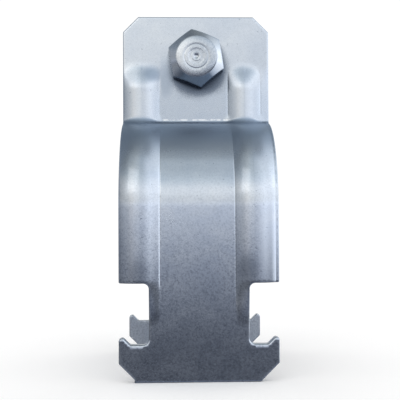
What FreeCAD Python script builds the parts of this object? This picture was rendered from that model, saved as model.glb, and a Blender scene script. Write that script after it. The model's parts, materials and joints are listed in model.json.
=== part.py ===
import FreeCAD, Part
import math
import os

# Strut pipe clamp for 1 inch steel pipe, in millimetres.
# Two identical pressed steel half straps face each other round the pipe.
# A hex head bolt and a nut draw their ears together.
# X is the pipe axis, Y is the bolt axis (bolt head towards -Y) and Z is up.
# The origin is the middle of the pipe seat.

# Pipe seat
PIPE_OUTSIDE_DIAMETER = 33.4

# Pressed strap
SHEET_THICKNESS = 1.9
STRAP_WIDTH = 31.75
EAR_GAP = 3.2
EAR_LENGTH = 22.9
EAR_CORNER_CUT = 3.35
EAR_BEND_RADIUS = 0.8
BOLT_SETBACK = 9.4
BOLT_HOLE_DIAMETER = 7.1

# T-shaped foot that hooks under the lips of the strut channel
SHOULDER_ABOVE_PIPE_BOTTOM = 1.55
SLOT_HEIGHT = 12.15
NECK_WIDTH = 19.85
FOOT_HEIGHT = 7.4
FOOT_CORNER_CUT = 3.75
HOOK_RISE = 1.45
HOOK_TIP_WIDTH = 0.75
PARTING_STEP = 0.65
SHOULDER_FILLET = 1.1
SLOT_FLOOR_FILLET = 1.2
HOOK_ROOT_FILLET = 0.8
HOOK_TIP_ROUND = 0.45
BLANK_CORNER_ROUND = 0.3

# Two stiffening ribs pressed outwards along each strap, one each side of a flat panel
# that the bolt head sits on
PANEL_WIDTH = 15.0
RIB_HEIGHT = 1.15
RIB_EDGE_MARGIN = 0.875
RIB_TOP_SETBACK = 10.2
RIB_CREST_BEND_RADIUS = 1.5
RIB_NOSE_DROP = 1.6
RIB_END_ABOVE_SHOULDER = 0.55

# Quarter inch bolt and nut, 20 threads to the inch
BOLT_DIAMETER = 6.35
BOLT_LENGTH = 22.2
BOLT_END_CHAMFER = 0.8
HEX_ACROSS_FLATS = 11.1
HEAD_HEIGHT = 4.1
HEAD_DISC_DIAMETER = 8.8
HEAD_DISC_CROWN = 0.22
HEAD_CHAMFER_ANGLE = 45.0
HEAD_CORNER_ANGLE = 39.0
RING_GROOVE_RADIUS = 2.6
RING_GROOVE_WIDTH = 0.5
RING_GROOVE_DEPTH = 0.14
CENTRE_RECESS_RADIUS = 1.65
CENTRE_RECESS_DEPTH = 0.12
CENTRE_DIMPLE_RADIUS = 0.6
CENTRE_DIMPLE_DEPTH = 0.3
NUT_HEIGHT = 5.56
NUT_CHAMFER_ANGLE = 30.0
NUT_CORNER_ANGLE = 21.0
THREAD_CLEARANCE = 0.05

# Sizes that follow from the ones above
BORE_RADIUS = PIPE_OUTSIDE_DIAMETER / 2
OUTER_RADIUS = BORE_RADIUS + SHEET_THICKNESS
EAR_INNER_Y = EAR_GAP / 2
EAR_OUTER_Y = EAR_INNER_Y + SHEET_THICKNESS
EAR_TOP_Z = OUTER_RADIUS + EAR_LENGTH
BOLT_Z = EAR_TOP_Z - BOLT_SETBACK
SHOULDER_Z = SHOULDER_ABOVE_PIPE_BOTTOM - BORE_RADIUS
SLOT_FLOOR_Z = SHOULDER_Z - SLOT_HEIGHT
FOOT_Z = SLOT_FLOOR_Z - FOOT_HEIGHT
HALF_WIDTH = STRAP_WIDTH / 2
HALF_NECK = NECK_WIDTH / 2
RIB_WIDTH = HALF_WIDTH - RIB_EDGE_MARGIN - PANEL_WIDTH / 2
RIB_CENTRE_X = (PANEL_WIDTH + RIB_WIDTH) / 2
RIB_ARC_RADIUS = (RIB_WIDTH ** 2 / 4 + RIB_HEIGHT ** 2) / (2 * RIB_HEIGHT)
RIB_TOP_CENTRE_Z = EAR_TOP_Z - RIB_TOP_SETBACK - RIB_WIDTH / 2
RIB_END_Z = SHOULDER_Z + RIB_END_ABOVE_SHOULDER
HEX_CORNER_RADIUS = HEX_ACROSS_FLATS / math.sqrt(3)
PAST_CORNERS = 1.1 * HEX_CORNER_RADIUS
CUT_LENGTH = 4 * (EAR_TOP_Z - FOOT_Z)

X_AXIS = FreeCAD.Vector(1, 0, 0)
Y_AXIS = FreeCAD.Vector(0, 1, 0)
Z_AXIS = FreeCAD.Vector(0, 0, 1)
ORIGIN = FreeCAD.Vector(0, 0, 0)


def rounded_outline(corners, place):
    """Closed wire through corners (a, b, radius); place turns (a, b) into a point."""
    edges = []
    starts = []
    ends = []
    count = len(corners)
    for index in range(count):
        a, b, radius = corners[index]
        before = corners[index - 1]
        after = corners[(index + 1) % count]
        corner = FreeCAD.Vector(a, b, 0)
        to_before = FreeCAD.Vector(before[0], before[1], 0).sub(corner).normalize()
        to_after = FreeCAD.Vector(after[0], after[1], 0).sub(corner).normalize()
        if radius == 0:
            starts.append(corner)
            ends.append(corner)
            continue
        half_angle = to_before.getAngle(to_after) / 2
        setback = radius / math.tan(half_angle)
        start = corner + to_before * setback
        end = corner + to_after * setback
        middle_way = (to_before + to_after).normalize()
        middle = corner + middle_way * (radius / math.sin(half_angle) - radius)
        starts.append(start)
        ends.append(end)
        edges.append(Part.Arc(place(start), place(middle), place(end)).toShape())
    for index in range(count):
        start = ends[index - 1]
        end = starts[index]
        if start.distanceToPoint(end) > 1e-6:
            edges.append(Part.makeLine(place(start), place(end)))
    return Part.Wire(Part.__sortEdges__(edges))


def in_front_view(point):
    return FreeCAD.Vector(point.x, -CUT_LENGTH / 2, point.y)


def strap_outline():
    """Front view of the finished strap, as a solid that runs right through in Y."""
    cut = EAR_CORNER_CUT
    foot_cut = FOOT_CORNER_CUT
    tip_z = SLOT_FLOOR_Z + HOOK_RISE
    tip_x = HALF_WIDTH - HOOK_TIP_WIDTH
    hook_foot_x = tip_x - HOOK_RISE
    hook_root_setback = HOOK_ROOT_FILLET * math.tan(math.radians(22.5))
    floor_fillet = min(SLOT_FLOOR_FILLET, hook_foot_x - hook_root_setback - HALF_NECK)
    corners = [
        (HALF_WIDTH - cut, EAR_TOP_Z, BLANK_CORNER_ROUND),
        (HALF_WIDTH, EAR_TOP_Z - cut, BLANK_CORNER_ROUND),
        (HALF_WIDTH, SHOULDER_Z, BLANK_CORNER_ROUND),
        (HALF_NECK, SHOULDER_Z, SHOULDER_FILLET),
        (HALF_NECK, SLOT_FLOOR_Z, floor_fillet),
        (hook_foot_x, SLOT_FLOOR_Z, HOOK_ROOT_FILLET),
        (tip_x, tip_z, HOOK_TIP_ROUND),
        (HALF_WIDTH, tip_z - HOOK_TIP_WIDTH / 2, HOOK_TIP_ROUND),
        (HALF_WIDTH, FOOT_Z + foot_cut, BLANK_CORNER_ROUND),
        (HALF_WIDTH - foot_cut, FOOT_Z, 0),
    ]
    left = [(-a, b, radius) for a, b, radius in reversed(corners)]
    step_x = foot_cut - PARTING_STEP - HALF_WIDTH
    left[0] = (step_x, FOOT_Z, 0)
    left.insert(1, (step_x, FOOT_Z + PARTING_STEP, 0))
    wire = rounded_outline(corners + left, in_front_view)
    return Part.Face(wire).extrude(Y_AXIS * CUT_LENGTH)


def bend_centre(outer_y, outer_radius, bend_radius):
    """Centre (y, z) of the concave bend between an ear face and the round seat."""
    y = outer_y + bend_radius
    z = math.sqrt((outer_radius + bend_radius) ** 2 - y ** 2)
    return y, z


def sheet_body():
    """Ear, tight bend, quarter circle round the pipe and straight leg, before cutting."""
    centre_y, centre_z = bend_centre(EAR_OUTER_Y, OUTER_RADIUS, EAR_BEND_RADIUS)
    reach = OUTER_RADIUS + EAR_BEND_RADIUS
    turn = math.asin(centre_y / reach)

    def side_point(y, z):
        return FreeCAD.Vector(-HALF_WIDTH, -y, z)

    def bend_point(radius, angle):
        return side_point(centre_y - radius * math.cos(angle), centre_z - radius * math.sin(angle))

    def seat_point(radius, angle):
        return side_point(radius * math.sin(angle), radius * math.cos(angle))

    bend_end = math.pi / 2 - turn
    inner_bend_radius = EAR_BEND_RADIUS + SHEET_THICKNESS
    seat_middle = (turn + math.pi / 2) / 2

    def face_edges(ear_y, bend_radius, seat_radius):
        top = side_point(ear_y, EAR_TOP_Z)
        ear_end = bend_point(bend_radius, 0)
        bend_middle = bend_point(bend_radius, bend_end / 2)
        seat_start = bend_point(bend_radius, bend_end)
        seat_end = side_point(seat_radius, 0)
        foot = side_point(seat_radius, FOOT_Z)
        return [
            Part.makeLine(top, ear_end),
            Part.Arc(ear_end, bend_middle, seat_start).toShape(),
            Part.Arc(seat_start, seat_point(seat_radius, seat_middle), seat_end).toShape(),
            Part.makeLine(seat_end, foot),
        ]

    edges = face_edges(EAR_OUTER_Y, EAR_BEND_RADIUS, OUTER_RADIUS)
    edges += face_edges(EAR_INNER_Y, inner_bend_radius, BORE_RADIUS)
    edges.append(Part.makeLine(side_point(EAR_OUTER_Y, EAR_TOP_Z), side_point(EAR_INNER_Y, EAR_TOP_Z)))
    edges.append(Part.makeLine(side_point(OUTER_RADIUS, FOOT_Z), side_point(BORE_RADIUS, FOOT_Z)))
    profile = Part.Face(Part.Wire(Part.__sortEdges__(edges)))
    return profile.extrude(X_AXIS * STRAP_WIDTH)


def hump_section(base_y, arc_radius, height, skirt, half=False):
    """Face in the plane z = 0: a round hump that stands out of y = -base_y, with a skirt
    that runs back into the sheet."""
    centre_y = base_y + height - arc_radius
    half_chord = math.sqrt(arc_radius ** 2 - (base_y - centre_y) ** 2)
    left = FreeCAD.Vector(0 if half else -half_chord, -base_y, 0)
    right = FreeCAD.Vector(half_chord, -base_y, 0)
    crest = FreeCAD.Vector(0, -base_y - height, 0)
    skirt_move = Y_AXIS * skirt
    edges = []
    if half:
        mid_angle = math.asin(half_chord / arc_radius) / 2
        middle = FreeCAD.Vector(
            arc_radius * math.sin(mid_angle), -centre_y - arc_radius * math.cos(mid_angle), 0
        )
        edges.append(Part.Arc(crest, middle, right).toShape())
        edges.append(Part.makeLine(crest, left + skirt_move))
    else:
        edges.append(Part.Arc(left, crest, right).toShape())
        edges.append(Part.makeLine(left, left + skirt_move))
    edges.append(Part.makeLine(right, right + skirt_move))
    edges.append(Part.makeLine(left + skirt_move, right + skirt_move))
    return Part.Face(Part.Wire(Part.__sortEdges__(edges)))


def rib_run(ear_y, seat_radius, arc_radius, bend_radius, skirt):
    """A rib or its inner groove: rounded top end, ear, bend, seat and leg, at x = 0."""
    section = hump_section(ear_y, arc_radius, RIB_HEIGHT, skirt)
    cap_section = hump_section(ear_y, arc_radius, RIB_HEIGHT, skirt, half=True)
    bend_y, bend_z = bend_centre(ear_y + RIB_HEIGHT, seat_radius + RIB_HEIGHT, bend_radius)
    turn = math.asin(bend_y / (seat_radius + RIB_HEIGHT + bend_radius))

    cap = cap_section.copy()
    cap.translate(Z_AXIS * RIB_TOP_CENTRE_Z)
    cap = cap.revolve(Z_AXIS * RIB_TOP_CENTRE_Z, Y_AXIS, 360)

    ear = section.copy()
    ear.translate(Z_AXIS * bend_z)
    bend = ear.copy()
    ear = ear.extrude(Z_AXIS * (RIB_TOP_CENTRE_Z - bend_z))
    bend_axis = FreeCAD.Vector(0, -bend_y, bend_z)
    bend = bend.revolve(bend_axis, X_AXIS, -(90 - math.degrees(turn)))

    leg_section = hump_section(seat_radius, arc_radius, RIB_HEIGHT, skirt)
    seat = leg_section.revolve(ORIGIN, X_AXIS, -(90 - math.degrees(turn)))
    leg = leg_section.extrude(Z_AXIS * RIB_END_Z)
    return [cap, ear, bend, seat, leg]


def rib_nose():
    """Rounded lower end of a rib, turned about a line that lies inside the sheet."""
    axis_depth = (RIB_NOSE_DROP ** 2 - RIB_HEIGHT ** 2) / (2 * RIB_HEIGHT)
    section = hump_section(OUTER_RADIUS, RIB_ARC_RADIUS, RIB_HEIGHT, axis_depth)
    section.translate(Z_AXIS * RIB_END_Z)
    axis_point = FreeCAD.Vector(0, axis_depth - OUTER_RADIUS, RIB_END_Z)
    return section.revolve(axis_point, X_AXIS, 90)


def front_half_strap():
    outside = rib_run(EAR_OUTER_Y, OUTER_RADIUS, RIB_ARC_RADIUS, RIB_CREST_BEND_RADIUS,
                      SHEET_THICKNESS / 2)
    outside.append(rib_nose())
    inside = rib_run(EAR_INNER_Y, BORE_RADIUS, RIB_ARC_RADIUS - SHEET_THICKNESS,
                     RIB_CREST_BEND_RADIUS + SHEET_THICKNESS, SHEET_THICKNESS / 2)
    strap = sheet_body()
    for side in (-1, 1):
        shift = X_AXIS * (side * RIB_CENTRE_X)
        added = [piece.translated(shift) for piece in outside]
        strap = strap.fuse(added)
    for side in (-1, 1):
        shift = X_AXIS * (side * RIB_CENTRE_X)
        for piece in inside:
            strap = strap.cut(piece.translated(shift))
    strap = strap.common(strap_outline())
    hole_start = FreeCAD.Vector(0, -CUT_LENGTH / 2, BOLT_Z)
    hole = Part.makeCylinder(BOLT_HOLE_DIAMETER / 2, CUT_LENGTH, hole_start, Y_AXIS)
    return strap.cut(hole).removeSplitter()


def hex_prism(start_y, height, corner_angle):
    points = []
    for index in range(7):
        angle = math.radians(corner_angle + 60 * index)
        x = HEX_CORNER_RADIUS * math.cos(angle)
        z = BOLT_Z + HEX_CORNER_RADIUS * math.sin(angle)
        points.append(FreeCAD.Vector(x, start_y, z))
    return Part.Face(Part.makePolygon(points)).extrude(Y_AXIS * height)


def turned(profile):
    """Solid turned about the bolt axis from (radius, y) points."""
    points = [FreeCAD.Vector(radius, y, BOLT_Z) for radius, y in profile]
    points.append(points[0])
    face = Part.Face(Part.makePolygon(points))
    return face.revolve(Z_AXIS * BOLT_Z, Y_AXIS, 360)


def clamp_bolt():
    """Hex head bolt; the head bears on the front ear and shows its turned end rings."""
    seat_y = -EAR_OUTER_Y
    face_y = seat_y - HEAD_HEIGHT
    rim_y = face_y + HEAD_DISC_CROWN
    disc_radius = HEAD_DISC_DIAMETER / 2
    slope = math.tan(math.radians(HEAD_CHAMFER_ANGLE))
    cone_y = rim_y + (PAST_CORNERS - disc_radius) * slope
    half_groove = RING_GROOVE_WIDTH / 2
    head = turned([
        (0, seat_y),
        (0, face_y + CENTRE_DIMPLE_DEPTH),
        (CENTRE_DIMPLE_RADIUS, face_y + CENTRE_RECESS_DEPTH),
        (CENTRE_RECESS_RADIUS, face_y + CENTRE_RECESS_DEPTH),
        (CENTRE_RECESS_RADIUS + CENTRE_RECESS_DEPTH, face_y),
        (RING_GROOVE_RADIUS - half_groove, face_y),
        (RING_GROOVE_RADIUS, face_y + RING_GROOVE_DEPTH),
        (RING_GROOVE_RADIUS + half_groove, face_y),
        (disc_radius, rim_y),
        (PAST_CORNERS, cone_y),
        (PAST_CORNERS, seat_y),
    ])
    head = head.common(hex_prism(face_y, HEAD_HEIGHT, HEAD_CORNER_ANGLE))
    radius = BOLT_DIAMETER / 2
    end_y = seat_y + BOLT_LENGTH
    shank = turned([
        (0, face_y + HEAD_HEIGHT / 2),
        (radius, face_y + HEAD_HEIGHT / 2),
        (radius, end_y - BOLT_END_CHAMFER),
        (radius - BOLT_END_CHAMFER, end_y),
        (0, end_y),
    ])
    return head.fuse(shank).removeSplitter()


def clamp_nut():
    """Plain hex nut against the rear ear, chamfered on both faces."""
    seat_y = EAR_OUTER_Y
    end_y = seat_y + NUT_HEIGHT
    slope = math.tan(math.radians(NUT_CHAMFER_ANGLE))
    flat_radius = HEX_ACROSS_FLATS / 2
    drop = (PAST_CORNERS - flat_radius) * slope
    bore = BOLT_DIAMETER / 2 + THREAD_CLEARANCE
    mouth = bore + BOLT_END_CHAMFER / 2
    ring = turned([
        (bore, seat_y + BOLT_END_CHAMFER / 2),
        (mouth, seat_y),
        (flat_radius, seat_y),
        (PAST_CORNERS, seat_y + drop),
        (PAST_CORNERS, end_y - drop),
        (flat_radius, end_y),
        (mouth, end_y),
        (bore, end_y - BOLT_END_CHAMFER / 2),
    ])
    return ring.common(hex_prism(seat_y, NUT_HEIGHT, NUT_CORNER_ANGLE)).removeSplitter()


def save(name, shape):
    solid = shape.Solids[0]
    print(name, len(shape.Solids), solid.isValid(), round(solid.Volume, 1))
    solid.exportStep(os.path.join("parts", name + ".step"))


os.makedirs("parts", exist_ok=True)
front_strap = front_half_strap()
rear_strap = front_strap.rotated(ORIGIN, Z_AXIS, 180)
save("front_strap", front_strap)
save("rear_strap", rear_strap)
save("clamp_bolt", clamp_bolt())
save("clamp_nut", clamp_nut())
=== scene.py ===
import json
import math

import bmesh
import bpy
import numpy as np
from mathutils import Matrix, Vector
from mathutils.geometry import delaunay_2d_cdt
from mathutils.kdtree import KDTree


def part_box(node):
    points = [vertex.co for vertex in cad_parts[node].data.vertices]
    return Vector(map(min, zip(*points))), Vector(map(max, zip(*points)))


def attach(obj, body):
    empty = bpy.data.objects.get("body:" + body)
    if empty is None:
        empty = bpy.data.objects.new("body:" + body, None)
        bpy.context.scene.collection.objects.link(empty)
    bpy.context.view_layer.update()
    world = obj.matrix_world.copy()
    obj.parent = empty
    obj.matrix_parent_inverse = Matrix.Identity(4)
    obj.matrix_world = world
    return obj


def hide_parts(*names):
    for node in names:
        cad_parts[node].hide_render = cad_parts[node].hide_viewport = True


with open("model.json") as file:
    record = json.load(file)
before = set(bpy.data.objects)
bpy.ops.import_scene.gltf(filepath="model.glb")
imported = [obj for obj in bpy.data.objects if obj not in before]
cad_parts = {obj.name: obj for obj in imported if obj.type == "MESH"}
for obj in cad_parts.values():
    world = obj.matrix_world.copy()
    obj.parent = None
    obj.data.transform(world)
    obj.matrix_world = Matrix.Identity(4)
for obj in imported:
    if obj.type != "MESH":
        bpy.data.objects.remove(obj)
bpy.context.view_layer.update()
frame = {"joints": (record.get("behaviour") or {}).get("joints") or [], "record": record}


# Half straps. Two identical pressings in 14 gauge steel sheet face each other round the pipe.
# Each is sheared from flat sheet, pressed once to raise two ribs, fold the ear and roll the
# seat, and then zinc plated.

MM = 0.001
strap_low, strap_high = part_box("front_strap")
joint_places = {joint["name"]: joint.get("pos_m") for joint in frame["joints"]}
mount_sizes = {mount["name"]: mount["dims"] for mount in frame["record"]["mounts"]}

sheet = 1.9 * MM
half_width = strap_high.x
ear_top = strap_high.z
foot_bottom = strap_low.z
ear_face = sheet - strap_high.y
seat_outside = mount_sizes["pipe_seat"]["r_mm"] * MM + sheet
bolt_height = joint_places["bolt_turn"][2]
rib_height = -strap_low.y - seat_outside

ear_bend_radius = 0.8 * MM
rib_width = 7.5 * MM
rib_centre = 11.2 * MM
rib_top = 32.0 * MM

ear_corner_cut = 3.35 * MM
hole_radius = 3.55 * MM
half_neck = 9.925 * MM
shoulder_height = -15.15 * MM
slot_floor = -27.3 * MM
hook_rise = 1.45 * MM
hook_tip_width = 0.75 * MM
foot_corner_cut = 3.75 * MM
parting_step = 0.65 * MM

corner_round = 0.3 * MM
hook_tip_round = 0.45 * MM
hook_root_round = 0.8 * MM
slot_floor_round = 1.2 * MM
shoulder_round = 1.1 * MM
die_roll = 0.24 * MM
burr_round = 0.08 * MM
wall_margin = 0.06 * MM
outline_step = 0.3 * MM

bend_reach = seat_outside + ear_bend_radius
bend_depth = ear_face + ear_bend_radius
bend_height = math.sqrt(bend_reach ** 2 - bend_depth ** 2)
bend_sweep = math.pi / 2 - math.asin(bend_depth / bend_reach)
ear_length = ear_top - bend_height
bend_length = ear_bend_radius * bend_sweep
seat_length = seat_outside * bend_sweep
leg_start = ear_length + bend_length + seat_length


def along_blank(height):
    """Distance from the top edge of the flat blank, for a height on the ear or the leg."""
    return ear_top - height if height > 0 else leg_start - height


def rounded_loop(corners, step):
    """Points round a closed outline of (x, y, radius) corners, arcs cut finely."""
    loop = []
    count = len(corners)
    for index, (x, y, radius) in enumerate(corners):
        corner = Vector((x, y))
        to_before = (Vector(corners[index - 1][:2]) - corner).normalized()
        to_after = (Vector(corners[(index + 1) % count][:2]) - corner).normalized()
        half_angle = to_before.angle(to_after) / 2
        if radius == 0:
            loop.append([corner])
            continue
        inward = (to_before + to_after).normalized()
        centre = corner + inward * (radius / math.sin(half_angle))
        start = corner + to_before * (radius / math.tan(half_angle)) - centre
        end = corner + to_after * (radius / math.tan(half_angle)) - centre
        turn = start.angle_signed(end)
        pieces = max(4, math.ceil(abs(turn) * radius / step))
        arc = []
        for piece in range(pieces + 1):
            angle = math.atan2(start.y, start.x) - turn * piece / pieces
            arc.append(centre + radius * Vector((math.cos(angle), math.sin(angle))))
        loop.append(arc)
    points = []
    for index, arc in enumerate(loop):
        points.extend(arc)
        gap = loop[(index + 1) % count][0] - arc[-1]
        pieces = max(1, math.ceil(gap.length / step))
        points.extend(arc[-1] + gap * (piece / pieces) for piece in range(1, pieces))
    return np.array([tuple(point) for point in points])


def inset(loop, distance):
    """The loop moved to its left by a distance, corners mitred."""
    ahead = np.roll(loop, -1, axis=0) - loop
    ahead /= np.linalg.norm(ahead, axis=1)[:, None]
    behind = np.roll(ahead, 1, axis=0)
    left = np.stack([-(ahead + behind)[:, 1], (ahead + behind)[:, 0]], axis=1)
    left /= (1 + (ahead * behind).sum(axis=1))[:, None]
    return loop + left * distance


def inside(points, loop):
    """Which points lie inside a closed loop."""
    result = np.zeros(len(points), bool)
    for (x0, y0), (x1, y1) in zip(loop, np.roll(loop, -1, axis=0)):
        if y0 == y1:
            continue
        between = (points[:, 1] < y0) != (points[:, 1] < y1)
        result ^= between & (points[:, 0] < x0 + (points[:, 1] - y0) / (y1 - y0) * (x1 - x0))
    return result


def strap_corners():
    """Outline of the blank, anticlockwise, with the distance down the blank as y."""
    tip_x = half_width - hook_tip_width
    tip = slot_floor + hook_rise
    right = [
        (half_width - foot_corner_cut, foot_bottom, 0),
        (half_width, foot_bottom + foot_corner_cut, corner_round),
        (half_width, tip - hook_tip_width / 2, hook_tip_round),
        (tip_x, tip, hook_tip_round),
        (tip_x - hook_rise, slot_floor, hook_root_round),
        (half_neck, slot_floor, slot_floor_round),
        (half_neck, shoulder_height, shoulder_round),
        (half_width, shoulder_height, corner_round),
        (half_width, ear_top - ear_corner_cut, corner_round),
        (half_width - ear_corner_cut, ear_top, corner_round),
    ]
    left = [(-x, height, radius) for x, height, radius in reversed(right)]
    step_x = foot_corner_cut - parting_step - half_width
    left[-1:] = [(step_x, foot_bottom + parting_step, 0), (step_x, foot_bottom, 0)]
    corners = [(x, along_blank(height), radius) for x, height, radius in right + left]
    return corners[::-1]


def spaced(*stops):
    """Grid lines through (place, spacing) stops, each spacing holding up to the next."""
    lines = []
    for (start, spacing), (end, _) in zip(stops, stops[1:]):
        pieces = max(1, round((end - start) / spacing))
        lines.extend(start + (end - start) * piece / pieces for piece in range(pieces))
    return np.array(lines + [stops[-1][0]])


def press_grid():
    """Grid points over the blank, closest in the fold and where the sides of the ribs begin."""
    rib_in = rib_centre - rib_width / 2
    rib_out = rib_centre + rib_width / 2
    half_lines = spaced(
        (0, 0.5 * MM),
        (rib_in - 0.7 * MM, 0.08 * MM),
        (rib_in + 0.4 * MM, 0.22 * MM),
        (rib_out - 1.1 * MM, 0.08 * MM),
        (rib_out - 0.4 * MM, 0.2 * MM),
        (half_width, 0.2 * MM),
    )
    across = np.concatenate([-half_lines[:0:-1], half_lines])
    cap_start = ear_top - rib_top
    bend_end = ear_length + bend_length
    down = spaced(
        (0, 0.5 * MM),
        (cap_start - 1 * MM, 0.3 * MM),
        (cap_start + 5 * MM, 0.45 * MM),
        (ear_length - 1.5 * MM, 0.25 * MM),
        (ear_length, 0.09 * MM),
        (bend_end, 0.25 * MM),
        (bend_end + 2 * MM, 0.36 * MM),
        (leg_start, 0.5 * MM),
        (leg_start + 13 * MM, 0.22 * MM),
        (leg_start + 17 * MM, 0.5 * MM),
        (along_blank(foot_bottom), 0.5 * MM),
    )
    return np.stack(np.meshgrid(across, down), axis=-1).reshape(-1, 2)


def filled(borders):
    """Points and triangles of a flat face, inside its outer border and round its hole."""
    grid = press_grid()
    near = KDTree(sum(len(border) for border in borders))
    for index, (x, y) in enumerate(np.concatenate(borders)):
        near.insert((x, y, 0), index)
    near.balance()
    keep = inside(grid, borders[0]) & ~inside(grid, borders[1])
    least_gap = 0.15 * MM
    keep[keep] = [near.find((x, y, 0))[2] > least_gap for x, y in grid[keep]]
    flat = np.concatenate(borders + [grid[keep]])

    scaled = [Vector(point) for point in flat / MM]
    edges = []
    start = 0
    for border in borders:
        count = len(border)
        edges.extend((start + index, start + (index + 1) % count) for index in range(count))
        start += count
    found, _, faces, sources, _, _ = delaunay_2d_cdt(scaled, edges, [], 0, 1e-6)
    order = np.full(len(found), -1)
    for index, source in enumerate(sources):
        order[index] = source[0]
    triangles = order[np.array(faces)]
    middles = flat[triangles].mean(axis=1)
    return flat, triangles[inside(middles, borders[0]) & ~inside(middles, borders[1])]


def blank_mesh(name):
    """Flat blank: x across, y into the sheet, z down the blank; its sheared edges rounded."""
    outline = rounded_loop(strap_corners(), outline_step)
    hole_points = 96
    hole_angles = -np.arange(hole_points) * 2 * math.pi / hole_points
    hole = np.stack([np.cos(hole_angles), np.sin(hole_angles)], axis=1) * hole_radius
    hole += (0, along_blank(bolt_height))
    loops = [outline, hole]
    flat, triangles = filled([inset(loop, die_roll) for loop in loops])

    # The sheared wall: a wide die roll on the outer side, a small round on the inner one.
    points = [np.insert(flat, 1, 0, axis=1), np.insert(flat, 1, sheet, axis=1)]
    count = len(flat)
    polygons = triangles.tolist() + (triangles[:, ::-1] + count).tolist()
    inner = [0.0] * count + [1.0] * count
    used = 2 * count
    steps = [(1 - math.sin(turn), 1 - math.cos(turn)) for turn in np.radians((30, 60, 90))]
    profile = [(die_roll * side, die_roll * drop) for side, drop in steps]
    profile.append((0, die_roll + wall_margin))
    profile.append((0, sheet / 2))
    profile.append((0, sheet - burr_round - wall_margin))
    profile += [(die_roll * side, sheet - burr_round * drop) for side, drop in steps[::-1]]
    start = 0
    for loop in loops:
        size = len(loop)
        ring_starts = [start]
        for side, depth in profile:
            ring_starts.append(used)
            points.append(np.insert(inset(loop, side), 1, depth, axis=1))
            inner.extend([0.0] * size)
            used += size
        ring_starts.append(start + count)
        for upper, lower in zip(ring_starts, ring_starts[1:]):
            for index in range(size):
                after = (index + 1) % size
                polygons.append((upper + index, lower + index, lower + after, upper + after))
        start += size
    mesh = bpy.data.meshes.new(name)
    mesh.from_pydata(np.concatenate(points).tolist(), [], polygons)
    mesh.attributes.new("inner_face", "FLOAT", "POINT").data.foreach_set("value", inner)
    return mesh


class Wire:
    """An output socket whose arithmetic adds Math nodes to the socket's own tree."""

    def __init__(self, socket):
        self.socket = socket

    @staticmethod
    def node(tree, kind, settings=(), sockets=()):
        """A new node: its settings are set first, then its sockets get values or links."""
        node = tree.nodes.new(kind)
        for name, value in dict(settings).items():
            if name == "stops":
                ramp = node.color_ramp
                while len(ramp.elements) < len(value):
                    ramp.elements.new(1)
                for element, (place, colour) in zip(ramp.elements, value):
                    element.position = place
                    element.color = (*colour, 1)
            else:
                setattr(node, name, value)
        for name, value in dict(sockets).items():
            if isinstance(value, Wire):
                tree.links.new(value.socket, node.inputs[name])
            else:
                node.inputs[name].default_value = value
        return node

    def new(self, kind, settings=(), sockets=(), output=0):
        node = Wire.node(self.socket.id_data, kind, settings, sockets)
        return Wire(node.outputs[output])

    def maths(self, operation, *others, first=None):
        """A Math node on this value and the others, or on another value first."""
        values = [self if first is None else first, *others]
        return self.new("ShaderNodeMath", {"operation": operation}, enumerate(values))

    def other(self, name):
        """Another output of the same node."""
        return Wire(self.socket.node.outputs[name])

    def __add__(self, other):
        return self.maths("ADD", other)

    __radd__ = __add__

    def __sub__(self, other):
        return self.maths("SUBTRACT", other)

    def __rsub__(self, other):
        return self.maths("SUBTRACT", self, first=other)

    def __mul__(self, other):
        return self.maths("MULTIPLY", other)

    __rmul__ = __mul__

    def __truediv__(self, other):
        return self.maths("DIVIDE", other)

    def __pow__(self, other):
        return self.maths("POWER", other)

    def __neg__(self):
        return self.maths("MULTIPLY", -1)

    def __abs__(self):
        return self.maths("ABSOLUTE")

    def root(self):
        return self.maths("MAXIMUM", 0).maths("SQRT")

    def least(self, other):
        return self.maths("MINIMUM", other)

    def most(self, other):
        return self.maths("MAXIMUM", other)

    def under(self, other):
        return self.maths("LESS_THAN", other)

    def share(self, start, length):
        """How far the value is from start towards start + length, held between 0 and 1."""
        return ((self - start) / length).most(0).least(1)

    def eased(self, start, length):
        """The same share with a soft beginning and end."""
        part = self.share(start, length)
        return part * part * (3 - part * 2)

    def towards(self, other, part):
        """A value between this one and the other, by a share."""
        return self + (other - self) * part


def geometry_tree(name, inputs):
    """A geometry node tree with named number inputs, a mesh input and a material input."""
    tree = bpy.data.node_groups.new(name, "GeometryNodeTree")
    tree.interface.new_socket("Geometry", in_out="INPUT", socket_type="NodeSocketGeometry")
    tree.interface.new_socket("Geometry", in_out="OUTPUT", socket_type="NodeSocketGeometry")
    for title in inputs:
        tree.interface.new_socket(title, in_out="INPUT", socket_type="NodeSocketFloat")
    tree.interface.new_socket("Material", in_out="INPUT", socket_type="NodeSocketMaterial")
    group = Wire.node(tree, "NodeGroupInput")
    return tree, {socket.name: Wire(socket) for socket in group.outputs if socket.name}


def close_tree(tree, geometry, material):
    """Ends a tree in real geometry that carries its material."""
    real = geometry.new("GeometryNodeRealizeInstances", (), {"Geometry": geometry})
    finished = real.new("GeometryNodeSetMaterial", (), {"Geometry": real, "Material": material})
    Wire.node(tree, "NodeGroupOutput", (), {0: finished})


def made(name, tree, values, mesh=None):
    """A plain mesh object from a geometry node tree and the values of its inputs."""
    piece = bpy.data.objects.new(name, mesh or bpy.data.meshes.new(name))
    bpy.context.scene.collection.objects.link(piece)
    modifier = piece.modifiers.new(tree.name, "NODES")
    modifier.node_group = tree
    identifiers = {item.name: item.identifier for item in tree.interface.items_tree
                   if item.in_out == "INPUT"}
    for title, value in values.items():
        modifier[identifiers[title]] = value
    view = bpy.context.evaluated_depsgraph_get()
    plain = bpy.data.meshes.new_from_object(piece.evaluated_get(view))
    piece.modifiers.clear()
    piece.data = plain
    plain.name = name
    return piece


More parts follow.
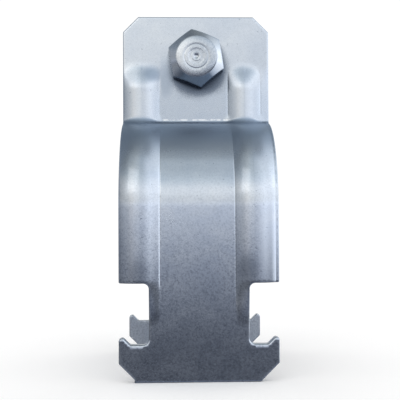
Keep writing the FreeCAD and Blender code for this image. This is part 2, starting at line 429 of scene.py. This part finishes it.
def turned_outwards(piece, weld=None):
    """Welds seams, points all faces outwards and shades them smooth."""
    form = bmesh.new()
    form.from_mesh(piece.data)
    if weld:
        bmesh.ops.remove_doubles(form, verts=form.verts, dist=weld)
    bmesh.ops.recalc_face_normals(form, faces=form.faces)
    for face in form.faces:
        face.smooth = True
    form.to_mesh(piece.data)
    form.free()


press_values = {
    "Sheet": sheet,
    "Ear Top": ear_top,
    "Ear Length": ear_length,
    "Bend Length": bend_length,
    "Seat Length": seat_length,
    "Ear Face": ear_face,
    "Seat Outside Radius": seat_outside,
    "Ear Bend Radius": ear_bend_radius,
    "Crest Bend Radius": 1.8 * MM,
    "Rib Centre": rib_centre,
    "Rib Drift": -0.25 * MM,
    "Rib Ear Drift": -0.30 * MM,
    "Rib Shift Length": 6.0 * MM,
    "Rib Width": rib_width,
    "Rib Outer Reach": 4.4 * MM,
    "Rib Ear Narrowing": 1.0 * MM,
    "Rib Height": rib_height,
    "Rib Side Slope": 0.6,
    "Rib Crest Round": 1.7 * MM,
    "Rib Root Round": 0.12 * MM,
    "Rib Cap Round": 1.5 * MM,
    "Rib Flare Round": 0.7 * MM,
    "Rib Flare Length": 1.4 * MM,
    "Rib Seat Flare": 24.0 * MM,
    "Rib Top": rib_top,
    "Rib Run Out": 6.5 * MM,
    "Rib Blend": 5.0 * MM,
    "Rib Seat Start": 0.2,
    "Rib Seat Rise": 9.0 * MM,
    "Rib End Drop": 14.5 * MM,
    "Rib End Length": 9.0 * MM,
    "Crease Depth": 0.05 * MM,
    "Crease Reach": 0.16 * MM,
    "Margin Fall": 0.18,
    "Turn": 0.0,
}


def strap_press():
    """The press tool: moves every point of the flat blank to its place on the strap."""
    tree, size = geometry_tree("strap_press", press_values)
    blank = size["Geometry"]
    place = blank.new("GeometryNodeInputPosition")
    x = place.new("ShaderNodeSeparateXYZ", (), {0: place})
    depth = x.other("Y")
    down = x.other("Z")

    leg_begin = size["Ear Length"] + size["Bend Length"] + size["Seat Length"]
    seat_begin = size["Ear Length"] + size["Bend Length"]
    height = size["Rib Height"]

    # Raised ribs: straight sides, rounded crest and roots, softer near the fold and the top.
    flare = size["Rib Flare Length"]
    flared = down.eased(size["Ear Length"] - flare, flare)
    flared = flared * (1 - down.share(seat_begin, size["Rib Seat Flare"])) ** 3
    root = size["Rib Root Round"].towards(size["Rib Flare Round"], flared)
    on_ear = 1 - down.eased(size["Ear Length"], size["Rib Shift Length"])
    drift = size["Rib Drift"] + size["Rib Ear Drift"] * on_ear
    off_crest = abs(x) - size["Rib Centre"] - x.maths("SIGN") * drift
    outer_reach = size["Rib Outer Reach"] - size["Rib Ear Narrowing"] * on_ear * (1 - x.under(0))
    inner_reach = size["Rib Width"] / 2
    reach = inner_reach.towards(outer_reach, 1 - off_crest.under(0))
    cap = size["Rib Top"] - inner_reach
    above_cap = (size["Ear Top"] - down - cap).most(0)
    from_crest = (off_crest ** 2 + above_cap ** 2).root()
    root = root.towards(size["Rib Cap Round"], above_cap.eased(0, inner_reach))
    side = (reach - from_crest) * size["Rib Side Slope"]
    raised = side.maths("SMOOTH_MIN", height, size["Rib Crest Round"])
    raised = raised.maths("SMOOTH_MAX", 0, root)

    # Where the ribs run out, and what only the outer skin shows: creases and a leaning margin.
    run_out = down.eased(size["Ear Top"] - size["Rib Top"], size["Rib Run Out"])
    faded = 1 - down.eased(leg_begin + size["Rib End Drop"], size["Rib End Length"])
    lift = raised * run_out * faded
    crease = (1 - abs(from_crest - reach) / size["Crease Reach"]).most(0) * run_out
    crease = crease * size["Crease Depth"] * faded ** 2 * (1 - flared).share(0.5, 0.5)
    outer_skin = 1 - depth / size["Sheet"]
    crease = crease * outer_skin
    margin = (off_crest - reach).most(0) * (1 - off_crest.under(0)) * (1 - x.under(0))
    lean = margin * size["Margin Fall"] * on_ear * run_out * outer_skin
    proud = lift - crease - depth - lean

    # Ear, fold, quarter round seat and straight leg, joined without a step.
    small = size["Ear Bend Radius"]
    bend = small + (size["Crest Bend Radius"] - small) * lift / height + depth
    ear_y = size["Ear Face"] + proud
    seat_share = size["Rib Seat Start"].towards(1, down.eased(seat_begin, size["Rib Seat Rise"]))
    seat = size["Seat Outside Radius"] + lift * seat_share - crease - depth
    first_seat = size["Seat Outside Radius"] + lift * size["Rib Seat Start"] - crease - depth
    centre_y = ear_y + bend
    centre_z = ((first_seat + bend) ** 2 - centre_y ** 2).root()
    turn = (centre_y / (first_seat + bend)).maths("ARCSINE")
    quarter = math.pi / 2 - turn
    plain_z = size["Ear Top"] - size["Ear Length"]
    straight = (size["Ear Length"] - down).most(0)
    near_bend = 1 - (straight / size["Rib Blend"]).least(1)
    ear_z = plain_z + straight + (centre_z - plain_z) * near_bend
    bend_turn = down.share(size["Ear Length"], size["Bend Length"]) * quarter
    seat_turn = turn + down.share(seat_begin, size["Seat Length"]) * quarter
    leg = (down - leg_begin).most(0)
    upper_y = centre_y - bend * bend_turn.maths("COSINE")
    upper_z = ear_z - bend * bend_turn.maths("SINE")
    lower_y = seat * seat_turn.maths("SINE")
    lower_z = seat * seat_turn.maths("COSINE") - leg
    on_seat = seat_begin.under(down)
    y = -upper_y.towards(lower_y, on_seat)
    z = upper_z.towards(lower_z, on_seat)

    pressed = place.new("ShaderNodeCombineXYZ", (), {0: x, 1: y, 2: z})
    moved = blank.new("GeometryNodeSetPosition", (), {"Geometry": blank, "Position": pressed})
    turned = place.new("ShaderNodeCombineXYZ", (), {2: size["Turn"]})
    faced = moved.new("GeometryNodeTransform", (), {"Geometry": moved, "Rotation": turned})
    close_tree(tree, faced, size["Material"])
    return tree


def plain_material(name):
    """An empty node material and the Object coordinates that its pattern reads."""
    material = bpy.data.materials.new(name)
    material.use_nodes = True
    material.node_tree.nodes.clear()
    place = Wire(Wire.node(material.node_tree, "ShaderNodeTexCoord").outputs["Object"])
    return material, place


def shaded(material, sockets):
    """The material with one main shader, its sockets set or linked."""
    shader = Wire.node(material.node_tree, "ShaderNodeBsdfPrincipled", (), sockets)
    Wire.node(material.node_tree, "ShaderNodeOutputMaterial", (), {0: Wire(shader.outputs[0])})
    return material


def overlaid(place, share, under, over, blend="MIX"):
    """The colour under, covered by the colour over as far as the share says."""
    settings = {"data_type": "RGBA", "blend_type": blend}
    return place.new("ShaderNodeMix", settings, {"Factor": share, 6: under, 7: over}, output=2)


def noise(place, scale, detail=2.0, roughness=0.5, stretch=(1, 1, 1), distortion=0.0):
    """Noise value over Object coordinates, in features per millimetre."""
    mapped = place.new("ShaderNodeMapping", {"vector_type": "POINT"},
                       {"Vector": place, "Scale": stretch})
    return place.new("ShaderNodeTexNoise", (), {
        "Vector": mapped, "Scale": scale / MM, "Detail": detail, "Roughness": roughness,
        "Distortion": distortion,
    })


def shelter(place, reach):
    """How far the sky above and in front is hidden by neighbouring metal, from 0 to 1."""
    facing = place.new("ShaderNodeNewGeometry", (), (), "Normal")
    upwards = facing.new("ShaderNodeVectorMath", {"operation": "ADD"},
                         {0: facing, 1: (-0.35, 0, 1.5)})
    upwards = upwards.new("ShaderNodeVectorMath", {"operation": "NORMALIZE"}, {0: upwards})
    sky = place.new("ShaderNodeAmbientOcclusion", {"samples": 16},
                    {"Distance": reach, "Normal": upwards}, "AO")
    return 1 - sky


painted_shade_reach = 4.8 * MM
darker_top_from = 8.5 * MM
darker_top_to = 18.1 * MM
darker_top_fade = 7.0 * MM
rib_darker_top_shift = 0.7 * MM
fold_line = 18.95 * MM
half_flat = 7.6 * MM

# Patches on the outer face, painted darker or lighter: x, z, half width and half height in
# millimetres.
# The cap and neck patches are painted shade; the right rib patch only thins the dark flecks.
bright_right_rib = (14.2, -7.5, 3.8, 13.0)
darker_beside_left_rib = (-6.6, 27.4, 3.2, 7.0)
painted_shade_left_cap = (-9.6, 28.9, 3.8, 2.7)
painted_shade_right_cap = (10.2, 28.8, 3.4, 2.6)
dark_left_neck = (-11.9, -13.0, 2.8, 4.4)
dark_right_neck = (9.7, -12.4, 3.0, 4.6)


def zinc_sheet():
    """Electro zinc plated rolled sheet: cool grey, fine grain, faint clouds and small pits."""
    material, place = plain_material("zinc_plated_sheet")
    across = place.new("ShaderNodeSeparateXYZ", (), {0: place})
    height = across.other("Z")
    inner = place.new("ShaderNodeAttribute", {"attribute_name": "inner_face"}, output="Fac")
    grain = noise(place, 3.2, 3.0, 0.6)
    fleck = noise(place, 2.4, 3.0, 0.8)
    clouds = noise(place, 0.16, 4.0, 0.55, distortion=0.6)
    streaks = noise(place, 2.4, 2.0, 0.5, stretch=(1, 0.06, 0.06))
    pits = ((noise(place, 1.5, 2.0, 0.5) - 0.68).most(0) * 8).least(1)

    def patch(x, z, half_wide, half_high):
        """Soft-edged oval, its place and size in millimetres."""
        away = ((across - x * MM) / (half_wide * MM)) ** 2
        away = away + ((height - z * MM) / (half_high * MM)) ** 2
        return 1 - away.root().eased(0.2, 0.8)

    # Clouded zinc with dark flecks, most of them low on the leg and the foot.
    wear = 1.2 - height.eased(-16 * MM, 26 * MM)
    wear = wear * (1 - patch(*bright_right_rib) * 1.15)
    flecks = (wear + 0.06) * (0.16 + (fleck - 0.5) * 2.6) + pits * 0.8
    tone = overlaid(place, (clouds - 0.3) * 1.6, (0.68, 0.72, 0.78, 1), (0.82, 0.84, 0.86, 1))
    tone = overlaid(place, flecks, tone, (0.38, 0.41, 0.46, 1))

    # Darker, rougher zinc over the top of the seat and in a patch beside the left rib;
    # on the ribs' caps and on the ear under the bolt head the darker colour is painted shade.
    on_rib = (abs(across.other("Y")) - ear_face).eased(0.3 * MM, 0.9 * MM)
    between = 1 - (abs(across) - half_flat).share(0, 0.3 * MM)
    drawn = height.eased(darker_top_from, darker_top_fade)
    drawn = drawn * (1 - (height - on_rib * rib_darker_top_shift).eased(darker_top_to, 1.2 * MM))
    drawn = drawn.most(patch(*darker_beside_left_rib) * between * 0.60)
    # Painted shade on the ribs' caps.
    drawn = drawn.most(patch(*painted_shade_left_cap) * 0.85).most(patch(*painted_shade_right_cap) * 0.4)
    # Painted shade on the ear below the bolt head.
    shade_below_head = height.eased(17 * MM, 1 * MM) * (1 - height.eased(23 * MM, 8 * MM))
    drawn = drawn.most(shade_below_head * (1 - on_rib) * 0.30)
    tone = overlaid(place, drawn, tone, (0.42, 0.49, 0.58, 1))

    # A thin broken line of painted glint along the fold, and painted shade where metal shelters
    # metal:
    # the bolt head's shadow on the ear, deepest close under the head, and darker necks.
    # Painted glint: a thin broken white line along the fold.
    fold_glint = 1 - abs(height - fold_line).share(0.08 * MM, 0.16 * MM)
    fold_glint = fold_glint * between * (1 - on_rib) * noise(place, 0.8, 3.0, 0.7).share(0.43, 0.12)
    tone = overlaid(place, fold_glint, tone, (1.0, 1.0, 1.0, 1))
    # Painted shadow: occlusion tilted towards the sky darkens the colour under the bolt head and
    # in hollows; the neck patches are painted shade too.
    hidden = shelter(place, painted_shade_reach)
    neck_shade = (patch(*dark_right_neck) * 0.5).most(patch(*dark_left_neck) * 0.36)
    painted_shade = (hidden.eased(0.315, 0.12) * 0.86).most(neck_shade)
    tone = overlaid(place, painted_shade, tone, (0.10, 0.13, 0.18, 1))
    # Painted shadow, almost black, close under the bolt head.
    tone = overlaid(place, hidden.eased(0.56, 0.14) * 0.7, tone, (0.02, 0.03, 0.05, 1))

    relief = grain * 0.5 + streaks * 0.3 - pits * 0.8
    bump = place.new("ShaderNodeBump", (), {
        "Height": relief, "Strength": 0.25, "Distance": 0.02 * MM,
    })
    roughness = 0.18 + drawn * 0.30 + inner * 0.27 + (grain - 0.5) * 0.10
    return shaded(material, {
        "Base Color": tone, "Metallic": 1.0, "Roughness": roughness + (clouds - 0.5) * 0.08,
        "Normal": bump,
    })


press = strap_press()
sheet_finish = zinc_sheet()
blank = blank_mesh("strap_blank")
for strap, body, turn in (("front", "front_half", 0.0), ("rear", "rear_half", math.pi)):
    values = dict(press_values, Turn=turn, Material=sheet_finish)
    piece = made(strap + "_half_strap", press, values, blank)
    turned_outwards(piece)
    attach(piece, body)
    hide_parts(strap + "_strap")


# Clamp bolt. A quarter inch steel bolt, its hex head cold formed and turned on the end face,
# with a rolled thread of 20 turns to the inch. It stands in both ears and carries the nut.

bolt_low, bolt_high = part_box("clamp_bolt")
hex_flats = 11.1 * MM
head_seat = -ear_face
head_face = bolt_low.y
head_disc_radius = 4.4 * MM
head_crown = 0.22 * MM
head_crown_start = 2.85 * MM
head_edge_round = 0.12 * MM
head_corner_angle = 39.0
hex_corner_round = 0.3 * MM
shank_radius = 3.0 * MM
shank_root = 2.0 * MM
ring_spacing = 0.22 * MM
turned_depth = 0.35 * MM
turned_round = 0.06 * MM
thread_pitch = 1.27 * MM
thread_radius = 3.16 * MM
thread_depth = 0.74 * MM
thread_chamfer = 0.8 * MM

# The turned end face from its centre outwards: radius and depth in millimetres.
end_face = [
    (0.02, 0.26), (0.30, 0.22), (0.55, 0.08), (0.95, 0.04), (1.10, 0.07),
    (1.55, 0.05), (1.85, 0), (2.40, 0), (2.60, 0.06), (2.82, 0),
]


def hexagon_reach(angles, corner_angle):
    """Distance from the axis to a hexagon with rounded corners, for each angle."""
    reach = np.empty(len(angles))
    for index, angle in enumerate(angles):
        turn = math.degrees(angle) - corner_angle
        corner = round(turn / 60)
        off = math.radians(turn - 60 * corner)
        rounding = hex_corner_round
        to_centre = (hex_flats / 2 - rounding) / math.cos(math.pi / 6)
        flat = hex_flats / 2 / math.cos(math.pi / 6 - abs(off))
        side = to_centre * math.sin(abs(off))
        tangent = math.atan2(rounding / 2, to_centre + rounding * math.sqrt(3) / 2)
        on_arc = abs(off) < tangent
        round_reach = to_centre * math.cos(off) + math.sqrt(max(rounding ** 2 - side ** 2, 0))
        reach[index] = round_reach if on_arc else flat
    return reach


def ring_mesh(name, rings, closed):
    """Mesh through rings of points, each ring an array; both ends closed by a point if asked."""
    size = len(rings[0])
    points = np.concatenate(rings)
    polygons = []
    for index in range(len(rings) - 1):
        upper, lower = index * size, (index + 1) * size
        for place in range(size):
            after = (place + 1) % size
            polygons.append((upper + place, upper + after, lower + after, lower + place))
    if closed:
        for first in (0, len(rings) - 1):
            tip = len(points)
            points = np.concatenate([points, rings[first].mean(axis=0)[None]])
            for place in range(size):
                polygons.append((tip, first * size + place, first * size + (place + 1) % size))
    mesh = bpy.data.meshes.new(name)
    mesh.from_pydata(points.tolist(), [], polygons)
    return mesh


def polar_ring(angles, radii, y):
    """Ring about the bolt axis; radii and y may be one number or one for each angle."""
    radii = np.broadcast_to(radii, angles.shape)
    y = np.broadcast_to(y, angles.shape)
    return np.stack([radii * np.cos(angles), y, bolt_height + radii * np.sin(angles)], axis=1)


def softened(profile, radius, pieces):
    """A (radius, y) profile with each inner corner rounded."""
    result = [profile[0]]
    for before, corner, after in zip(profile, profile[1:], profile[2:]):
        before, corner, after = Vector(before), Vector(corner), Vector(after)
        to_before, to_after = before - corner, after - corner
        setback = min(radius, to_before.length * 0.45, to_after.length * 0.45)
        start = corner + to_before.normalized() * setback
        end = corner + to_after.normalized() * setback
        for piece in range(pieces + 1):
            part = piece / pieces
            point = start * (1 - part) ** 2 + corner * (2 * part * (1 - part)) + end * part ** 2
            result.append(tuple(point))
    result.append(profile[-1])
    return result


def bolt_head():
    """Head with a turned end face: a dimple, a recess and a ring groove inside the disc."""
    head_points = 720
    angles = np.arange(head_points) * 2 * math.pi / head_points
    reach = hexagon_reach(angles, head_corner_angle)
    dished = [(radius * MM, head_face + depth * MM) for radius, depth in end_face]
    rings = [polar_ring(angles, radius, y) for radius, y in softened(dished, turned_round, 3)]
    for part in (0.2, 0.4, 0.6, 0.8, 1.0):
        radius = head_crown_start + (head_disc_radius - head_crown_start) * part
        rings.append(polar_ring(angles, radius, head_face + head_crown * part ** 2))
    rim_y = head_face + head_crown
    top = reach - head_disc_radius
    for part in (0.03, 0.08, 0.2, 0.4, 0.6, 0.8, 0.92):
        rings.append(polar_ring(angles, head_disc_radius + top * part, rim_y + top * part))
    edge_y = rim_y + top
    soft = head_edge_round
    rings.append(polar_ring(angles, reach - soft * 0.30, edge_y + soft * 0.15))
    rings.append(polar_ring(angles, reach - soft * 0.05, edge_y + soft * 0.55))
    rings.append(polar_ring(angles, reach, edge_y + soft * 1.1))
    wall = head_seat - soft - (edge_y + soft * 1.1)
    for part in (0.1, 0.5, 0.9, 1.0):
        rings.append(polar_ring(angles, reach, edge_y + soft * 1.1 + wall * part))
    rings.append(polar_ring(angles, reach - soft * 0.3, head_seat - soft * 0.3))
    rings.append(polar_ring(angles, reach - soft, head_seat))
    rings.append(polar_ring(angles, shank_radius, head_seat))
    return ring_mesh("bolt_head", rings, True)


thread_values = {
    "Axis Height": bolt_height,
    "Start": 0.0,
    "End": 0.0,
    "Radius": thread_radius,
    "Depth": thread_depth,
    "Pitch": thread_pitch,
    "Chamfer": thread_chamfer,
    "Bore": 0.0,
}


def thread_roll():
    """The thread rolls: a tube whose radius follows the helix, its ends drawn in or opened."""
    tree, size = geometry_tree("thread_roll", thread_values)
    around, rows = 120, 380
    tube = size["Start"].new("GeometryNodeMeshGrid", (), {
        "Size X": 1.0, "Size Y": 1.0, "Vertices X": around + 1, "Vertices Y": rows,
    }, output="Mesh")
    place = tube.new("GeometryNodeInputPosition")
    part = place.new("ShaderNodeSeparateXYZ", (), {0: place})
    turn = part * (2 * math.pi)
    solid = 1 - size["Bore"]
    length = size["End"] - size["Start"]
    past_end = solid * size["Radius"]
    travel = (part.other("Y") + 0.5) * (length + solid * 2 * size["Radius"]) - past_end
    y = size["Start"] + travel.most(0).least(length)
    phase = ((y / size["Pitch"]) + part).maths("FRACT")
    ramp = abs(phase - 0.5) * 2
    flank_slope, crest_flat = 1.25, 0.12
    groove = (ramp * flank_slope - crest_flat).most(0).least(1)
    radius = size["Radius"] - size["Depth"] * groove

    # A shank is drawn in at its far end and closed at both; a bore opens at both faces.
    from_end = (size["End"] - y).least((y - size["Start"]) + solid)
    cone = from_end - size["Chamfer"]
    drawn_in = radius.least(size["Radius"] + cone)
    opened = radius.most(size["Radius"] - cone)
    radius = drawn_in.towards(opened, size["Bore"])
    end_gap = (size["Radius"] + travel).least(size["Radius"] + length - travel)
    radius = radius.least(radius * size["Bore"] + end_gap.most(0) * solid)
    point = place.new("ShaderNodeCombineXYZ", (), {
        0: radius * turn.maths("COSINE"), 1: y,
        2: size["Axis Height"] + radius * turn.maths("SINE"),
    })
    moved = tube.new("GeometryNodeSetPosition", (), {"Geometry": tube, "Position": point})
    close_tree(tree, moved, size["Material"])
    return tree


def zinc_bolt(name, turned):
    """Bright zinc on cold formed steel; the turned end face keeps fine rings."""
    material, place = plain_material(name)
    grain = noise(place, 4.0, 3.0, 0.6)
    clouds = noise(place, 0.35, 3.0, 0.5)
    fleck = noise(place, 2.0, 3.0, 0.7)
    facing = place.new("ShaderNodeNewGeometry", (), (), "Normal")
    facing_up = facing.new("ShaderNodeSeparateXYZ", (), {0: facing}).other("Z")
    # Painted shade: faces that look down, and places hidden from the sky by nearby metal, are
    # coloured dark.
    below = (-facing_up).eased(0.2, 0.4) * 0.8
    painted_shade = below.most(shelter(place, painted_shade_reach).eased(0.4, 0.3) * 0.7)
    tone = overlaid(place, (clouds - 0.3) * 1.6, (0.70, 0.73, 0.77, 1), (0.84, 0.85, 0.86, 1))
    tone = overlaid(place, painted_shade, tone, (0.16, 0.20, 0.26, 1))
    relief = grain * 0.5
    if turned:
        centred = place.new("ShaderNodeMapping", {"vector_type": "POINT"},
                            {"Vector": place, "Location": (0, 0, -bolt_height)})
        across = centred.new("ShaderNodeSeparateXYZ", (), {0: centred})
        radius = (across ** 2 + across.other("Z") ** 2).root()
        rings = (radius * (2 * math.pi / ring_spacing)).maths("SINE")
        on_face = across.other("Y").under(head_face + turned_depth)
        relief = relief + (rings * 0.34 + grain * 0.5) * on_face
        # Painted shade: the turned face darkens towards its right side; random flecks dull it too.
        end_face_shade_and_flecks = on_face * (across.eased(-3 * MM, 7 * MM) * 0.6 + (fleck - 0.5) * 1.4)
        tone = overlaid(place, end_face_shade_and_flecks, tone, (0.40, 0.44, 0.49, 1))
    bump = place.new("ShaderNodeBump", (), {
        "Height": relief, "Strength": 0.3, "Distance": 0.03 * MM,
    })
    return shaded(material, {
        "Base Color": tone, "Metallic": 1.0,
        "Roughness": 0.22 + (grain - 0.5) * 0.10 + (clouds - 0.5) * 0.08, "Normal": bump,
    })


def dressed(name, mesh, finish):
    """A mesh as an object of the scene, in its finish."""
    piece = bpy.data.objects.new(name, mesh)
    bpy.context.scene.collection.objects.link(piece)
    mesh.materials.append(finish)
    return piece


def fused(piece, other):
    """Adds the other object's mesh to the piece and deletes the other object."""
    joined = bmesh.new()
    joined.from_mesh(piece.data)
    joined.from_mesh(other.data)
    joined.to_mesh(piece.data)
    joined.free()
    bpy.data.objects.remove(other)


bolt_finish = zinc_bolt("zinc_plated_bolt", True)
rolls = thread_roll()
shank = made("bolt_shank", rolls, dict(
    thread_values, Start=head_face + shank_root, End=bolt_high.y, Material=bolt_finish))
bolt = dressed("hex_bolt", bolt_head(), bolt_finish)
turned_outwards(shank, 1e-6)
turned_outwards(bolt)
fused(bolt, shank)
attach(bolt, "bolt")
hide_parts("clamp_bolt")


# Hex nut behind the rear ear. Cold formed and tapped through, chamfered on both faces, and
# zinc plated like the bolt. It draws the two ears together.

nut_low, nut_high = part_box("clamp_nut")
nut_corner_angle = 21.0
nut_chamfer = math.tan(math.radians(30))
nut_edge_round = 0.08 * MM
bore_clearance = 0.05 * MM
bore_countersink = 0.4 * MM
nut_finish = zinc_bolt("zinc_plated_nut", False)


def nut_shell():
    """Outside of the nut, from its seat face round the flats to its outer face."""
    nut_points = 120
    angles = np.arange(nut_points) * 2 * math.pi / nut_points
    reach = hexagon_reach(angles, nut_corner_angle)
    flat = hex_flats / 2
    face_edge = np.minimum(reach, flat * 0.96)
    cone_start = np.minimum(reach, flat * 0.985)
    mouth = thread_radius + bore_clearance + bore_countersink
    seat, end = nut_low.y, nut_high.y
    drop = (reach - flat * 0.97).clip(0) * nut_chamfer
    soft = nut_edge_round
    rings = [polar_ring(angles, mouth, seat)]
    rings.append(polar_ring(angles, face_edge, seat))
    rings.append(polar_ring(angles, cone_start, seat + drop * 0.2))
    rings.append(polar_ring(angles, reach - soft, seat + drop))
    rings.append(polar_ring(angles, reach, seat + drop + soft))
    for part in (0.2, 0.5, 0.8):
        rings.append(polar_ring(angles, reach, seat + (end - seat) * part))
    rings.append(polar_ring(angles, reach, end - drop - soft))
    rings.append(polar_ring(angles, reach - soft, end - drop))
    rings.append(polar_ring(angles, cone_start, end - drop * 0.2))
    rings.append(polar_ring(angles, face_edge, end))
    rings.append(polar_ring(angles, mouth, end))
    return ring_mesh("nut_shell", rings, False)


nut = dressed("hex_nut", nut_shell(), nut_finish)
bore = made("nut_bore", rolls, dict(
    thread_values, Start=nut_low.y, End=nut_high.y, Radius=thread_radius + bore_clearance,
    Chamfer=bore_countersink, Bore=1.0, Material=nut_finish))
fused(nut, bore)
turned_outwards(nut, 2e-6)
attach(nut, "nut")
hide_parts("clamp_nut")


# Studio. The clamp stands on a pale floor in a white room, lit by one soft lamp in front and
# above. Its metal also reflects the room's walls and a tall bright window on the right.

floor_reach = 20.0
floor_corners = [(-1, -1), (1, -1), (1, 1), (-1, 1)]
floor_mesh = bpy.data.meshes.new("studio_floor")
floor_mesh.from_pydata([(floor_reach * x, floor_reach * y, foot_bottom) for x, y in floor_corners],
                       [], [(0, 1, 2, 3)])
floor_finish, _ = plain_material("pale_floor")
shaded(floor_finish, {
    "Base Color": (1.0, 1.0, 1.0, 1), "Roughness": 0.9, "Specular IOR Level": 0.0,
})
floor = dressed("studio_floor", floor_mesh, floor_finish)
floor.visible_glossy = False

# Brightness of the walls by elevation and their colour by azimuth, in degrees.
wall_tones = [
    (-90, 0.12), (-50, 0.20), (-28, 0.20), (-18, 0.12), (-12, 0.045), (-8, 0.085),
    (-4.5, 0.235), (-1, 0.45), (2, 0.92), (8, 0.72), (18, 0.92), (24, 0.91), (31, 0.75),
    (40, 0.60), (52, 0.53), (61, 0.54), (70, 0.38), (78, 0.37), (90, 0.345),
]
wall_colours = [
    (-180, (0.63, 0.66, 0.68)), (-120, (0.38, 0.42, 0.48)), (-86, (0.38, 0.42, 0.48)),
    (-74, (0.42, 0.45, 0.48)), (-65, (0.46, 0.49, 0.52)), (-49, (0.74, 0.77, 0.79)),
    (-34, (0.84, 0.86, 0.86)), (-22, (1.08, 1.08, 1.06)), (-5, (1.14, 1.18, 1.20)),
    (1, (0.94, 0.99, 1.04)), (16, (0.95, 1.00, 1.06)), (46, (0.72, 0.76, 0.82)),
    (110, (0.72, 0.76, 0.81)), (180, (0.63, 0.66, 0.68)),
]

# The ramp holds the wall colours at half strength; the light is doubled after it.
ramp_share = 0.5


def by_angle(degrees, whole):
    """Place on a ramp that spans a whole turn or half turn about zero."""
    return 0.5 + degrees / whole


def studio_room():
    """Room light that metal sees: pale walls above the clamp's level, darker overhead and
    below, and a tall window on the right. Everything else sees plain white."""
    world = bpy.data.worlds.new("studio_room")
    world.use_nodes = True
    world.cycles.sampling_method = "NONE"
    tree = world.node_tree
    tree.nodes.clear()
    way = Wire(Wire.node(tree, "ShaderNodeTexCoord").outputs["Generated"])
    x = way.new("ShaderNodeSeparateXYZ", (), {0: way})
    elevation = x.other("Z").maths("ARCSINE") * (180 / math.pi)
    azimuth = x.maths("ARCTAN2", -x.other("Y")) * (180 / math.pi)

    # Walls, tinted cooler below the clamp's level and a little cooler high up.
    tones = [(by_angle(angle, 180), [grey] * 3) for angle, grey in wall_tones]
    colours = [(by_angle(angle, 360), [part * ramp_share for part in parts])
               for angle, parts in wall_colours]
    tone = way.new("ShaderNodeValToRGB", {"stops": tones}, {0: by_angle(elevation, 180)})
    colour = way.new("ShaderNodeValToRGB", {"stops": colours}, {0: by_angle(azimuth, 360)})
    below, above = 1 - elevation.eased(-8, 16), elevation.eased(22, 14)
    walls = overlaid(way, 1.0, tone, colour, "MULTIPLY")
    walls = overlaid(way, below, walls, (0.95, 1.03, 1.28, 1), "MULTIPLY")
    walls = overlaid(way, above, walls, (0.88, 0.96, 1.02, 1), "MULTIPLY")

    def panel(side, level, half_width, half_height):
        """Bright panel about a direction, fading out towards its edges, in degrees."""
        wide = (1 - abs(azimuth - side) / half_width).most(0)
        return wide * (1 - abs(elevation - level) / half_height).most(0)

    # The window: its sill steps down and it grows brighter towards its far side.
    wide = azimuth.eased(-2, 44) * (1 - azimuth.eased(95, 45))
    sill = azimuth.eased(58, 10) * -20 + azimuth.eased(70, 15) * -24 - 4.6
    tall = (elevation - sill).eased(0, 4) * (1 - elevation.eased(50, 24))
    far_side = azimuth.eased(58, 12) * (1 - elevation.eased(24, 26)) * 0.26
    far_side = far_side + azimuth.eased(50, 20) * (1 - elevation.eased(-1, 7)) * 0.26
    skirting = abs(azimuth).eased(4, 20) * (1 - elevation.eased(-9, 5)) * 0.08
    strength = panel(31, -1, 25, 7) * 0.24 + wide * tall * (0.42 + far_side)
    strength = strength + panel(-92, -20, 16, 34) * 0.4 + panel(-38, 21, 18, 13) * 0.2
    strength = strength + skirting

    pane = way.new("ShaderNodeBackground", (), {0: (0.92, 0.98, 1.06, 1), 1: strength})
    seen = way.new("ShaderNodeBackground", (), {0: walls, 1: 1 / ramp_share})
    room = seen.new("ShaderNodeAddShader", (), {0: seen, 1: pane})
    plain = way.new("ShaderNodeBackground", (), {0: (1, 1, 1, 1), 1: 1.05})
    rays = way.new("ShaderNodeLightPath", (), (), "Is Camera Ray")
    pale = rays.most(rays.other("Is Diffuse Ray"))
    mixed = way.new("ShaderNodeMixShader", (), {0: pale, 1: room, 2: plain})
    Wire.node(tree, "ShaderNodeOutputWorld", (), {0: mixed})
    return world


bpy.context.scene.world = studio_room()
bpy.context.scene.view_settings.view_transform = "Standard"

lamp_azimuth = math.radians(-25)
lamp_elevation = math.radians(32)
lamp_distance = 0.9
lamp_way = Vector((math.sin(lamp_azimuth) * math.cos(lamp_elevation),
                   -math.cos(lamp_azimuth) * math.cos(lamp_elevation),
                   math.sin(lamp_elevation)))
lamp = bpy.data.lights.new("front_lamp", "AREA")
lamp.shape = "SQUARE"
lamp.size = 0.45
lamp.energy = 0.17
lamp_stand = bpy.data.objects.new("front_lamp", lamp)
lamp_stand.location = lamp_way * lamp_distance
lamp_stand.rotation_euler = lamp_way.to_track_quat("Z", "Y").to_euler()
lamp_stand.visible_camera = False
bpy.context.scene.collection.objects.link(lamp_stand)


# Camera. It stands level with the clamp, a little to its left, and looks along the bolt from
# about 17 cm away.

camera_place = Vector((-4.69, -168.78, -2.0)) * MM
camera_yaw = 0.0328
camera_pitch = 0.0212
camera_roll = -0.0053
focal_pixels = 761.1
image_pixels = 400

ahead = Vector((math.sin(camera_yaw) * math.cos(camera_pitch),
                math.cos(camera_yaw) * math.cos(camera_pitch), math.sin(camera_pitch)))
level = Vector((math.cos(camera_yaw), -math.sin(camera_yaw), 0))
upright = level.cross(ahead)
right = level * math.cos(camera_roll) + upright * math.sin(camera_roll)
up = upright * math.cos(camera_roll) - level * math.sin(camera_roll)
lens = bpy.data.cameras.new("camera")
lens.sensor_width = 36
lens.lens = focal_pixels / image_pixels * lens.sensor_width
lens.clip_start = 5 * MM
lens.clip_end = 200
camera = bpy.data.objects.new("camera", lens)
axes = Matrix((right, up, -ahead)).transposed()
camera.matrix_world = Matrix.Translation(camera_place) @ axes.to_4x4()
bpy.context.scene.collection.objects.link(camera)
bpy.context.scene.camera = camera
